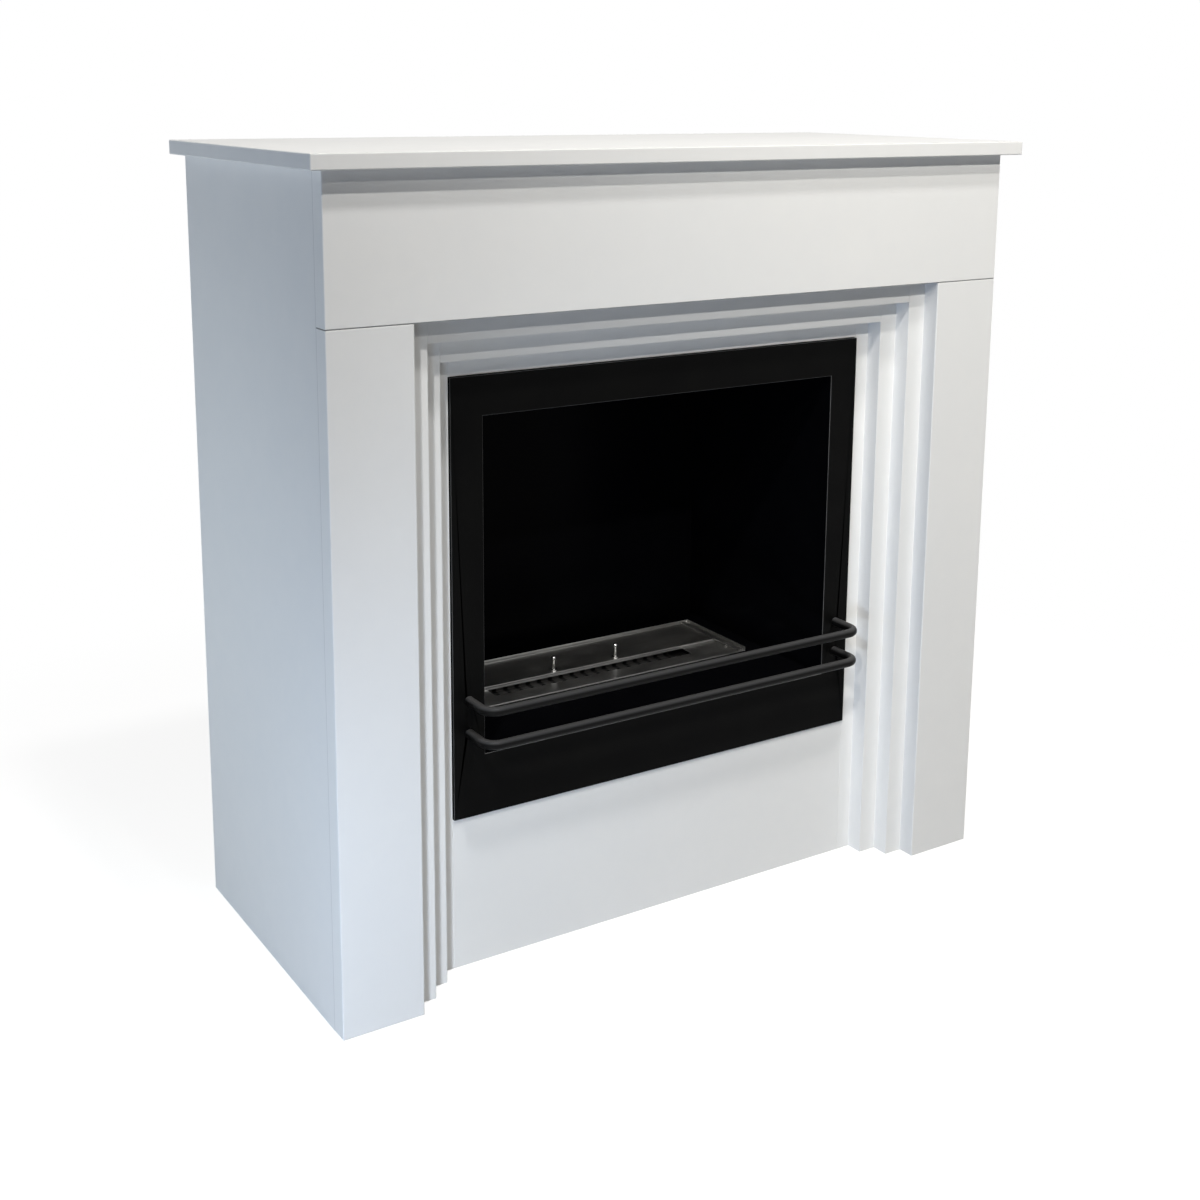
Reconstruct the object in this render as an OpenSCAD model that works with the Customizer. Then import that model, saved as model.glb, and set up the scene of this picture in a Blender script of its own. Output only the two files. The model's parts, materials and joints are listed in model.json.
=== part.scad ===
// Floor-standing bioethanol fireplace: a lacquered board surround with a stepped portal,
// a black steel insert with two guard bars, and a burner with a sliding snuffer lid.
// Millimetres. X runs to the right, Y to the back and Z up; the origin is on the floor,
// under the middle of the shelf. Depths are counted back from the faces of the front boards.

/* [Surround] */
// Width across the two side panels
body_w = 1000; // [960:10:1200]
// Height from the floor to the underside of the shelf
body_h = 1012; // [980:4:1100]
// Depth from the front faces to the back edges
body_d = 440; // [430:5:520]
// Thickness of the shelf
shelf_t = 18; // [14:1:30]
// Reach of the shelf past each side
shelf_side = 20; // [5:1:50]
// Reach of the shelf past the front
shelf_front = 20; // [5:1:50]
// Thickness of the side panels
side_t = 25; // [16:1:28]
// Thickness of the frieze board and the pilasters
front_t = 25; // [18:1:28]
// Thickness of the two stepped frames
step_t = 25; // [20:1:28]
// Visible width of each step
step_w = 28; // [22:1:34]
// Height of the glued lap above each step
lap = 40; // [20:1:48]
// Rounding of the edges of the shelf and the front boards
arris = 1.5; // [0.5:0.25:4]
// Rounding of the edges of the stepped frames and the infill
fine_arris = 0.5; // [0.25:0.25:2]
// Thickness of the infill boards round the insert
infill_t = 18; // [14:1:22]
// Visible width of the infill round the insert
reveal = 23; // [16:1:28]
// Thickness of the boards inside and at the back
inner_t = 18; // [12:1:22]
// Height of the two back rails
rail_h = 100; // [60:5:140]
// Height of the lower back rail above the floor
rail_z = 40; // [0:5:45]
// Side of the square cleats
cleat = 30; // [20:1:36]

/* [Insert] */
// Width of the front frame
frame_w = 630; // [580:5:640]
// Height of the front frame
frame_h = 560; // [520:5:600]
// Height of the frame's lower edge above the floor
frame_z = 202; // [190:2:240]
// Sheet thickness of the frame
frame_t = 2; // [1.5:0.25:3]
// Depth of the frame's folded rim
rim_d = 20; // [14:1:22]
// How far the frame stands proud of the infill
proud = 4; // [2:0.5:8]
// Gap between the frame's rim and the infill
frame_gap = 0.5; // [0.3:0.1:1.5]
// Width of the frame's side borders
side_border = 44; // [40:1:56]
// Width of the frame's top border
top_border = 50; // [40:1:70]
// Width of the frame's bottom border
bottom_border = 80; // [74:1:100]
// Sheet thickness of the firebox
sheet = 1.5; // [1:0.25:2]
// Distance of the firebox walls behind the opening's side edges
wall_gap = 2; // [0.5:0.5:4]
// Depth from the frame's face to the back wall
box_d = 325; // [300:5:330]
// Height of the roof above the opening
roof_gap = 12; // [5:1:20]
// Drop of the floor below the opening's lower edge
floor_drop = 2; // [0:0.5:4]
// Height from the underside of the firebox to its floor
sump_h = 72; // [71:1:76]
// Width of the folded flanges of the firebox
flange = 12; // [10:1:14]
// Width of the flanges that hold the firebox walls to the frame
front_flange = 10; // [8:1:11]
// Diameter of the rivets of the firebox
rivet_d = 3.2; // [2.4:0.4:4]
// Height of the brackets that hold the insert
bracket_h = 40; // [30:2:60]
// Distance of the brackets from the frame's top and bottom edges
bracket_in = 110; // [80:5:160]

/* [Guard bars] */
// Diameter of the bars
bar_d = 12; // [9:1:14]
// Distance of their axis from the frame's face
bar_reach = 50; // [40:1:60]
// Bend radius at the axis
bar_bend = 18; // [14:1:26]
// Height of the lower bar above the frame's lower edge
bar_z = 111; // [95:1:130]
// Distance between the two bars
bar_pitch = 43; // [30:1:60]
// Diameter of their bolts
bolt_d = 6; // [4:1:6]
// Clearance of the bolts in the frame
bolt_play = 0.4; // [0.2:0.1:1]

/* [Burner] */
// Width of the burner's top plate
plate_w = 480; // [440:5:500]
// Depth of the top plate
plate_d = 148; // [144:2:170]
// Thickness of the top plate
plate_t = 2; // [1:0.5:3]
// Distance between the top plate and the back wall
plate_back = 41; // [20:1:60]
// Width of the top plate's seat on the firebox floor
seat = 10; // [6:1:14]
// Gap round the tank in its cut-out
tank_gap = 1.5; // [0.5:0.5:3]
// Depth of the tank below the floor
tank_h = 66; // [40:1:68]
// Height of the lip round the top plate
lip_h = 5; // [4:0.5:8]
// Length of the burner slot
slot_w = 330; // [250:5:360]
// Width of the burner slot
slot_d = 27; // [20:1:30]
// Distance of the slot from the plate's front edge
slot_front = 30; // [24:1:36]
// Drop of the perforated strip in the slot
slot_drop = 6; // [5:0.5:10]
// Diameter of the holes in the strip
hole_d = 6; // [3:0.5:8]
// Spacing of the holes
hole_pitch = 18; // [12:1:30]
// Height of the wool in the tank
wool_h = 52; // [30:1:54]

/* [Snuffer lid] */
// Thickness of the lid
lid_t = 1.5; // [1:0.25:2]
// Depth of the lid
lid_d = 85; // [82:1:86]
// Width of the folded hem along the lid's front edge
hem_w = 17; // [14:1:24]
// Running gap above and below the lid
lid_gap = 0.4; // [0.2:0.1:0.8]
// Reach of the guides over the lid's side edges
guide_lip = 5; // [3:0.5:8]
// How far the lid travels past the slot's front edge
lid_past = 1; // [0.5:0.5:3]
// Height of the knobs above the hem
knob_h = 22; // [14:1:28]
// Diameter of the knobs' stems
knob_d = 5; // [3:0.5:6]
// Distance between the knobs
knob_span = 104; // [60:2:200]

/* [Hidden] */
$fn = 48;

// How far a cut runs past the faces that it opens
cut = 1;
// Room in a bore past the end of its screw or bolt
bore_end = 0.5;

white = [0.90, 0.90, 0.89];
raw_board = [0.72, 0.60, 0.44];
black = [0.06, 0.06, 0.065];
steel = [0.62, 0.62, 0.61];
zinc = [0.70, 0.71, 0.72];
wool_white = [0.86, 0.84, 0.78];

// Places of the surround: Y of the faces, half widths and tops of the stepped openings
front_y = (shelf_front - body_d) / 2;
outer_y = front_y + front_t;
inner_y = outer_y + step_t;
infill_y = inner_y + step_t;
infill_back = infill_y + infill_t;
back_y = front_y + body_d;
rail_y = back_y - inner_t;
side_x = body_w / 2 - side_t;
infill_x = frame_w / 2 + frame_gap;
inner_x = frame_w / 2 + reveal;
outer_x = inner_x + step_w;
portal_x = outer_x + step_w;
frame_top = frame_z + frame_h;
inner_top = frame_top + reveal;
outer_top = inner_top + step_w;
portal_top = outer_top + step_w;

// Places of the insert
frame_y = infill_y - proud;
frame_back = frame_y + frame_t;
open_x = frame_w / 2 - side_border;
open_z = [frame_z + bottom_border, frame_top - top_border];
wall_x = open_x + wall_gap;
box_back = frame_y + box_d;
floor_z = open_z[0] - floor_drop;
box_z = floor_z - sump_h;
roof_z = open_z[1] + roof_gap;
bracket_t = 3;
bracket_z = [frame_z + bracket_in, frame_top - bracket_in];
bracket_x = frame_w / 2 + reveal + step_w;
screw_d = 4;
screw_fit = 0.1;
screw_head_d = 8;
screw_head_h = 2.5;
screw_bite = 11;
bolt_len = 16;
bolt_head_h = 4;
bar_x = frame_w / 2 - side_border / 2;
bar_heights = [frame_z + bar_z, frame_z + bar_z + bar_pitch];

// Places of the burner
plate_z = floor_z + plate_t;
plate_y = [box_back - plate_back - plate_d, box_back - plate_back];
tank_x = plate_w / 2 - seat;
tank_y = [plate_y[0] + seat, plate_y[1] - seat];
tank_z = floor_z - tank_h;
slot_y = [plate_y[0] + slot_front, plate_y[0] + slot_front + slot_d];
slot_x = slot_w / 2;
slot_corner = 1.5;
strip_z = plate_z - slot_drop;
strip_flange = 8;
holes = floor((slot_w - 2 * hole_d) / hole_pitch);

// Places of the lid
guide_gap = 1;
guide_foot = 7;
guide_x = plate_w / 2 - sheet - guide_gap - guide_foot;
lid_x = guide_x - sheet - guide_gap;
lid_z = plate_z + lid_gap;
lid_y = [slot_y[1], slot_y[1] + lid_d];
lid_travel = slot_d + lid_past;
hem_x = lid_x - guide_lip - guide_gap;
hem_z = lid_z + 2 * lid_t;
guide_z = lid_z + lid_t + lid_gap;
knob_shank = 3;
knob_bore = 3.1;

// A block between two limits on each axis
module block(x, y, z) {
    translate([x[0], y[0], z[0]]) cube([x[1] - x[0], y[1] - y[0], z[1] - z[0]]);
}

// A piece and its mirror image on the other side
module both() {
    children();
    mirror([1, 0, 0]) children();
}

// side -1 puts a piece that is drawn for the right on the left
module on_side(side) {
    if (side > 0) children();
    else mirror([1, 0, 0]) children();
}

// A rectangle with round corners
module round_rect(x, y, r) {
    translate([x[0] + r, y[0]]) square([x[1] - x[0] - 2 * r, y[1] - y[0]]);
    translate([x[0], y[0] + r]) square([x[1] - x[0], y[1] - y[0] - 2 * r]);
    for (a = [x[0] + r, x[1] - r], b = [y[0] + r, y[1] - r]) translate([a, b]) circle(r = r);
}

// A rectangle whose two corners at the low end of y are round
module round_low_rect(x, y, r) {
    translate([x[0] + r, y[0]]) square([x[1] - x[0] - 2 * r, y[1] - y[0]]);
    translate([x[0], y[0] + r]) square([x[1] - x[0], y[1] - y[0] - r]);
    for (a = [x[0] + r, x[1] - r]) translate([a, y[0] + r]) circle(r = r);
}

// A lacquered board with soft edges round its face and along its ends
module board(x, y, z, r) {
    intersection() {
        translate([0, 0, z[0]]) linear_extrude(z[1] - z[0]) round_low_rect(x, y, r);
        translate([x[1], 0, 0]) rotate([0, -90, 0]) linear_extrude(x[1] - x[0]) round_low_rect(z, y, r);
        translate([0, y[1], 0]) rotate([90, 0, 0]) linear_extrude(y[1] - y[0]) round_rect(x, z, r);
    }
}

// A pan-head screw along +Z, its head below z = 0
module screw(length) {
    cylinder(d = screw_d, h = length);
    translate([0, 0, -screw_head_h]) cylinder(d1 = 0.75 * screw_head_d, d2 = screw_head_d, h = screw_head_h);
}

// The hole that a screw runs in
module screw_bore(length) {
    translate([0, 0, -cut]) cylinder(d = screw_d + screw_fit, h = cut + length + bore_end);
}

// The surround

module mantel_shelf() {
    x = body_w / 2 + shelf_side;
    color(white) difference() {
        board([-x, x], [front_y - shelf_front, back_y], [body_h, body_h + shelf_t], arris);
        shelf_screw_places() screw_bore(cleat + screw_bite);
    }
}

module side_panel(side) {
    color(white) on_side(side) difference() {
        block([side_x, body_w / 2], [outer_y, back_y], [0, body_h]);
        rail_side_places() screw_bore(bracket_t + screw_bite);
    }
}

module frieze_board() {
    color(white) board([-body_w / 2, body_w / 2], [front_y, outer_y], [portal_top, body_h], arris);
}

module pilaster(side) {
    color(white) on_side(side) board([portal_x, body_w / 2], [front_y, outer_y], [0, portal_top], arris);
}

// The rails fit between the stiles, and the stiles are glued along the side panels
module step_rail(x, y, z) {
    color(white) board([-x, x], [y, y + step_t], [z, z + step_w + lap], fine_arris);
}

module step_stile(side, x, y, z) {
    color(white) on_side(side) board([x, side_x], [y, y + step_t], [0, z + step_w + lap], fine_arris);
}

module infill_strip(side) {
    color(white) on_side(side) difference() {
        board([infill_x, side_x], [infill_y, infill_back], [0, inner_top + lap], fine_arris);
        bracket_screw_places() screw_bore(bracket_t + screw_bite);
    }
}

module top_infill_strip() {
    z = [frame_top + frame_gap, inner_top + lap];
    color(white) board([-infill_x, infill_x], [infill_y, infill_back], z, fine_arris);
}

module lower_panel() {
    color(white) board([-infill_x, infill_x], [infill_y, infill_back], [0, frame_z], fine_arris);
}

// The carcass inside and at the back

module carrier_shelf() {
    color(raw_board) block([-side_x, side_x], [infill_back, rail_y], [box_z - inner_t, box_z]);
}

module carrier_cleat(side) {
    z = box_z - inner_t;
    color(raw_board) on_side(side)
        block([side_x - cleat, side_x], [infill_back, rail_y], [z - cleat, z]);
}

module shelf_cleat(side) {
    color(raw_board) on_side(side) difference() {
        block([side_x - cleat, side_x], [outer_y, rail_y], [body_h - cleat, body_h]);
        shelf_screw_places() screw_bore(cleat + screw_bite);
    }
}

// Places of the screws that run up through the right cleat into the shelf
module shelf_screw_places() {
    for (part = [0.15, 0.5, 0.85], s = [-1, 1])
        translate([s * (side_x - cleat / 2), outer_y + part * (rail_y - outer_y), body_h - cleat]) children();
}

module shelf_screws() {
    color(zinc) shelf_screw_places() screw(cleat + screw_bite);
}

module back_rail(z) {
    color(raw_board) difference() {
        block([-side_x, side_x], [rail_y, back_y], [z, z + rail_h]);
        rail_places() screw_bore(bracket_t + screw_bite);
    }
}

rail_heights = [rail_z, body_h - rail_h];
rail_bracket = 40;
rail_bracket_h = 24;

// Screw places on the inner face of the rails, pointing back
module rail_places() {
    for (z = rail_heights, s = [-1, 1])
        translate([s * (side_x - rail_bracket * 0.6), rail_y - bracket_t, z + rail_h / 2])
            rotate([-90, 0, 0]) children();
}

// Screw places on the inner face of the right side panel, pointing right
module rail_side_places() {
    for (z = rail_heights)
        translate([side_x - bracket_t, rail_y - rail_bracket * 0.6, z + rail_h / 2])
            rotate([0, 90, 0]) children();
}

module rail_bracket_right(z) {
    h = [z + (rail_h - rail_bracket_h) / 2, z + (rail_h + rail_bracket_h) / 2];
    block([side_x - rail_bracket, side_x], [rail_y - bracket_t, rail_y], h);
    block([side_x - bracket_t, side_x], [rail_y - rail_bracket, rail_y], h);
}

module rail_brackets() {
    color(zinc) difference() {
        both() for (z = rail_heights) rail_bracket_right(z);
        rail_places() screw_bore(bracket_t + screw_bite);
        both() rail_side_places() screw_bore(bracket_t + screw_bite);
    }
}

module rail_screws() {
    color(zinc) {
        rail_places() screw(bracket_t + screw_bite);
        both() rail_side_places() screw(bracket_t + screw_bite);
    }
}

// The steel insert

module insert_frame() {
    x = frame_w / 2;
    hollow_x = x - frame_t;
    hollow_z = [frame_z + frame_t, frame_top - frame_t];
    color(black) difference() {
        block([-x, x], [frame_y, frame_y + rim_d], [frame_z, frame_top]);
        block([-hollow_x, hollow_x], [frame_back, frame_y + rim_d + cut], hollow_z);
        block([-open_x, open_x], [frame_y - cut, frame_back + cut], open_z);
        bolt_places() translate([0, 0, -cut]) cylinder(d = bolt_d + bolt_play, h = frame_t + 2 * cut);
    }
}

// Places of the rivets in the right wall, pointing right, from the middle of the two sheets:
// up the back edge, along the floor and the base, and along the roof's lip outside the wall
module rivet_places() {
    for (part = [0.08 : 0.21 : 0.92])
        translate([wall_x, box_back + sheet + flange / 2, box_z + part * (roof_z - box_z)])
            rotate([0, 90, 0]) children();
    for (part = [0.1 : 0.26 : 0.9], z = [box_z + flange / 2, floor_z - flange / 2])
        translate([wall_x, frame_back + part * (box_back - frame_back), z]) rotate([0, 90, 0]) children();
    for (part = [0.1 : 0.26 : 0.9])
        translate([wall_x + sheet, frame_back + part * (box_back - frame_back), roof_z - flange / 2])
            rotate([0, 90, 0]) children();
}

module rivet_bores() {
    rivet_places() translate([0, 0, -2 * sheet]) cylinder(d = rivet_d + screw_fit, h = 4 * sheet);
}

module firebox_rivets() {
    head_h = 0.3 * rivet_d;
    color(zinc) both() rivet_places() {
        translate([0, 0, -sheet]) cylinder(d = rivet_d, h = 2 * sheet);
        translate([0, 0, sheet]) cylinder(d1 = 2 * rivet_d, d2 = 1.4 * rivet_d, h = head_h);
        translate([0, 0, -sheet - head_h]) cylinder(d1 = 1.2 * rivet_d, d2 = 1.6 * rivet_d, h = head_h);
    }
}

module firebox_wall(side) {
    color(black) on_side(side) difference() {
        union() {
            block([wall_x, wall_x + sheet], [frame_back, box_back + sheet + flange], [box_z, roof_z]);
            block([wall_x, wall_x + front_flange], [frame_back, frame_back + sheet], [box_z, roof_z]);
        }
        rivet_bores();
    }
}

module firebox_back_wall() {
    z = [box_z + flange, roof_z];
    color(black) difference() {
        union() {
            block([-wall_x, wall_x], [box_back, box_back + sheet], z);
            both() block([wall_x - sheet, wall_x], [box_back, box_back + sheet + flange], z);
        }
        both() rivet_bores();
    }
}

module firebox_roof() {
    x = wall_x + sheet;
    color(black) difference() {
        union() {
            block([-x, x], [frame_back, box_back + sheet + flange], [roof_z, roof_z + sheet]);
            block([-x, x], [frame_back, frame_back + sheet], [roof_z, roof_z + flange]);
            both() block([x, x + sheet], [frame_back + flange, box_back], [roof_z - flange, roof_z + sheet]);
        }
        both() rivet_bores();
    }
}

// The base and the floor are trays, folded towards each other between the walls
module firebox_base() {
    y = [frame_back, box_back + sheet];
    z = [box_z, box_z + flange];
    color(black) difference() {
        union() {
            block([-wall_x, wall_x], y, [box_z, box_z + sheet]);
            block([-wall_x, wall_x], [y[0], y[0] + sheet], z);
            block([-wall_x, wall_x], [y[1] - sheet, y[1]], z);
            both() block([wall_x - sheet, wall_x], y, z);
        }
        both() rivet_bores();
    }
}

module firebox_floor() {
    y = [frame_back, box_back];
    z = [floor_z - flange, floor_z];
    x = tank_x + tank_gap;
    color(black) difference() {
        union() {
            block([-wall_x, wall_x], y, [floor_z - sheet, floor_z]);
            block([-wall_x, wall_x], [y[0], y[0] + sheet], z);
            block([-wall_x, wall_x], [y[1] - sheet, y[1]], z);
            both() block([wall_x - sheet, wall_x], y, z);
        }
        block([-x, x], [tank_y[0] - tank_gap, tank_y[1] + tank_gap], [z[0] - cut, z[1] + cut]);
        both() rivet_bores();
    }
}

// Screw places on the insert brackets, pointing forwards into the infill strips
module bracket_screw_places() {
    for (z = bracket_z, up = [-0.25, 0.25])
        translate([(infill_x + bracket_x) / 2, infill_back + bracket_t, z + up * bracket_h])
            rotate([90, 0, 0]) children();
}

module insert_brackets() {
    color(zinc) both() for (z = bracket_z) {
        h = [z - bracket_h / 2, z + bracket_h / 2];
        difference() {
            block([wall_x + sheet, bracket_x], [infill_back, infill_back + bracket_t], h);
            bracket_screw_places() screw_bore(bracket_t + cut);
        }
        block([wall_x + sheet, wall_x + sheet + bracket_t], [infill_back, infill_back + bracket_h], h);
    }
}

module bracket_screws() {
    color(zinc) both() bracket_screw_places() screw(bracket_t + screw_bite);
}

// The guard bars

// Places of the four bolts, pointing forwards from the back of the frame plate
module bolt_places() {
    for (z = bar_heights, s = [-1, 1])
        translate([s * bar_x, frame_back, z]) rotate([90, 0, 0]) children();
}

module guard_bar(z) {
    run_y = frame_y - bar_reach;
    corner_x = bar_x - bar_bend;
    color(black) difference() {
        union() {
            translate([-corner_x, run_y, z]) rotate([0, 90, 0]) cylinder(d = bar_d, h = 2 * corner_x);
            both() {
                translate([corner_x, run_y + bar_bend, z]) rotate([0, 0, -90])
                    rotate_extrude(angle = 90) translate([bar_bend, 0]) circle(d = bar_d);
                translate([bar_x, frame_y, z]) rotate([90, 0, 0])
                    cylinder(d = bar_d, h = bar_reach - bar_bend);
            }
        }
        bolt_places() cylinder(d = bolt_d + screw_fit, h = bolt_len + bore_end);
    }
}

module guard_bar_bolts() {
    color(zinc) bolt_places() {
        cylinder(d = bolt_d, h = bolt_len);
        translate([0, 0, -bolt_head_h]) cylinder(d = 1.8 * bolt_d, h = bolt_head_h, $fn = 6);
    }
}

// The burner

module burner_tank() {
    hollow_x = tank_x - sheet;
    hollow_y = [tank_y[0] + sheet, tank_y[1] - sheet];
    color(steel) difference() {
        block([-tank_x, tank_x], tank_y, [tank_z, floor_z]);
        block([-hollow_x, hollow_x], hollow_y, [tank_z + sheet, floor_z + cut]);
    }
}

module burner_top_plate() {
    x = plate_w / 2;
    color(steel) {
        difference() {
            block([-x, x], plate_y, [floor_z, plate_z]);
            translate([0, 0, floor_z - cut]) linear_extrude(plate_t + 2 * cut)
                round_rect([-slot_x, slot_x], slot_y, slot_corner);
        }
        block([-x, x], [plate_y[1] - sheet, plate_y[1]], [floor_z, plate_z + lip_h]);
        both() block([x - sheet, x], plate_y, [floor_z, plate_z + lip_h]);
    }
}

// A hat-shaped channel under the slot, closed at its ends, with a row of holes along its web
module perforated_strip() {
    x = slot_x + sheet;
    y = [slot_y[0] - sheet, slot_y[1] + sheet];
    color(steel) difference() {
        union() {
            block([-x, x], y, [strip_z - sheet, floor_z]);
            block([-x, x], [y[0] - strip_flange, y[1] + strip_flange], [floor_z - sheet, floor_z]);
        }
        block([-slot_x, slot_x], slot_y, [strip_z, floor_z + cut]);
        for (i = [0 : holes])
            translate([(i - holes / 2) * hole_pitch, (slot_y[0] + slot_y[1]) / 2, strip_z - sheet - cut])
                cylinder(d = hole_d, h = sheet + 2 * cut);
    }
}

module wick_wool() {
    inset = 6;
    x = slot_x + inset;
    color(wool_white) translate([0, 0, tank_z + sheet]) linear_extrude(wool_h)
        round_rect([-x, x], [tank_y[0] + inset, tank_y[1] - inset], 2 * inset);
}

// A guide of Z section: a foot on the plate, a web beside the lid, a lip over its edge
// and a turned-in tab that stops the lid when it covers the slot
module lid_guide(side) {
    web = guide_x - sheet;
    stop_y = lid_y[0] - lid_travel - lid_gap;
    y = [plate_y[0] + sheet, plate_y[1] - 2 * sheet];
    color(steel) on_side(side) {
        block([web, guide_x + guide_foot], y, [plate_z, plate_z + sheet]);
        block([web, guide_x], y, [plate_z, guide_z + sheet]);
        block([web - guide_lip, guide_x], y, [guide_z, guide_z + sheet]);
        block([web - guide_lip, web], [stop_y - sheet, stop_y], [plate_z, guide_z + sheet]);
    }
}

// Places of the two knobs on the hem
module knob_places() {
    for (s = [-1, 1]) translate([s * knob_span / 2, lid_y[0] + hem_w / 2, hem_z]) children();
}

module snuffer_lid() {
    color(steel) difference() {
        union() {
            block([-lid_x, lid_x], lid_y, [lid_z, lid_z + lid_t]);
            block([-hem_x, hem_x], [lid_y[0], lid_y[0] + hem_w], [lid_z, hem_z]);
        }
        knob_places() translate([0, 0, -2 * lid_t - cut]) cylinder(d = knob_bore, h = 2 * lid_t + 2 * cut);
    }
}

// A turned knob: a rivet shank through the hem, a collar, a stem and a domed head
module lid_knobs() {
    head = knob_d + 2;
    collar = 2;
    color(steel) knob_places() {
        translate([0, 0, -2 * lid_t]) cylinder(d = knob_shank, h = 2 * lid_t);
        cylinder(d = 2 * knob_d, h = collar);
        cylinder(d = knob_d, h = knob_h - head / 2);
        translate([0, 0, knob_h - head / 2]) sphere(d = head);
    }
}

mantel_shelf();
side_panel(-1);  // left_side_panel
side_panel(1);  // right_side_panel
frieze_board();
pilaster(-1);  // left_pilaster
pilaster(1);  // right_pilaster
step_rail(outer_x, outer_y, outer_top);  // outer_top_rail
step_stile(-1, outer_x, outer_y, outer_top);  // outer_left_stile
step_stile(1, outer_x, outer_y, outer_top);  // outer_right_stile
step_rail(inner_x, inner_y, inner_top);  // inner_top_rail
step_stile(-1, inner_x, inner_y, inner_top);  // inner_left_stile
step_stile(1, inner_x, inner_y, inner_top);  // inner_right_stile
top_infill_strip();
infill_strip(-1);  // left_infill_strip
infill_strip(1);  // right_infill_strip
lower_panel();
carrier_shelf();
carrier_cleat(-1);  // left_carrier_cleat
carrier_cleat(1);  // right_carrier_cleat
shelf_cleat(-1);  // left_shelf_cleat
shelf_cleat(1);  // right_shelf_cleat
shelf_screws();
back_rail(rail_heights[1]);  // top_back_rail
back_rail(rail_heights[0]);  // bottom_back_rail
rail_brackets();
rail_screws();
insert_frame();
firebox_wall(-1);  // firebox_left_wall
firebox_wall(1);  // firebox_right_wall
firebox_back_wall();
firebox_roof();
firebox_base();
firebox_floor();
firebox_rivets();
insert_brackets();
bracket_screws();
guard_bar(bar_heights[1]);  // upper_guard_bar
guard_bar(bar_heights[0]);  // lower_guard_bar
guard_bar_bolts();
burner_tank();
burner_top_plate();
perforated_strip();
wick_wool();
lid_guide(-1);  // lid_guide_left
lid_guide(1);  // lid_guide_right
snuffer_lid();
lid_knobs();
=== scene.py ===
# Looks of a floor-standing bioethanol fireplace: a white lacquered surround with a stepped
# portal, a black steel insert with two guard bars, and a brushed steel burner. Metres.
import json
import math

import bmesh
import bpy
from mathutils import Matrix, Vector, noise


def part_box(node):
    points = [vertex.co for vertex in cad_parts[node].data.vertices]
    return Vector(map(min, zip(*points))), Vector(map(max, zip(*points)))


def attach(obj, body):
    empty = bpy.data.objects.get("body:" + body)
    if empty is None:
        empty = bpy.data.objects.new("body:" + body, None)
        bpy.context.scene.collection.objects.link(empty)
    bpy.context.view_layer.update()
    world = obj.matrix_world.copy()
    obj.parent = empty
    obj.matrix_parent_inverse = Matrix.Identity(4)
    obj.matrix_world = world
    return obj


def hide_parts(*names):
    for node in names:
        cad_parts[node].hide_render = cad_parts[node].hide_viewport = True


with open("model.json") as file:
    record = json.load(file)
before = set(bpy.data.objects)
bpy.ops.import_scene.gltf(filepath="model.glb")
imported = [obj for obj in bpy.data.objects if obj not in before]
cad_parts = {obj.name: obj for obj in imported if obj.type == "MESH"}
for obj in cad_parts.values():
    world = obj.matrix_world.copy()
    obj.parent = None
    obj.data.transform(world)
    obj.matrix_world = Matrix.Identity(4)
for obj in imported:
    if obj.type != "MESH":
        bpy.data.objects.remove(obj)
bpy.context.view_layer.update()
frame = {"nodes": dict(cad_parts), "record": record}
nodes = frame["nodes"]

MM = 0.001
SAME_PLACE = 0.001 * MM

# Places that the materials need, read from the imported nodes
panel_low, panel_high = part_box("right_side_panel")
shelf_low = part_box("mantel_shelf")[0]
infill_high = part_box("right_infill_strip")[1]
frieze_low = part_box("frieze_board")[0]
roof_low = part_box("firebox_roof")[0]
strip_low, strip_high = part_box("perforated_strip")


# Node trees

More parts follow.
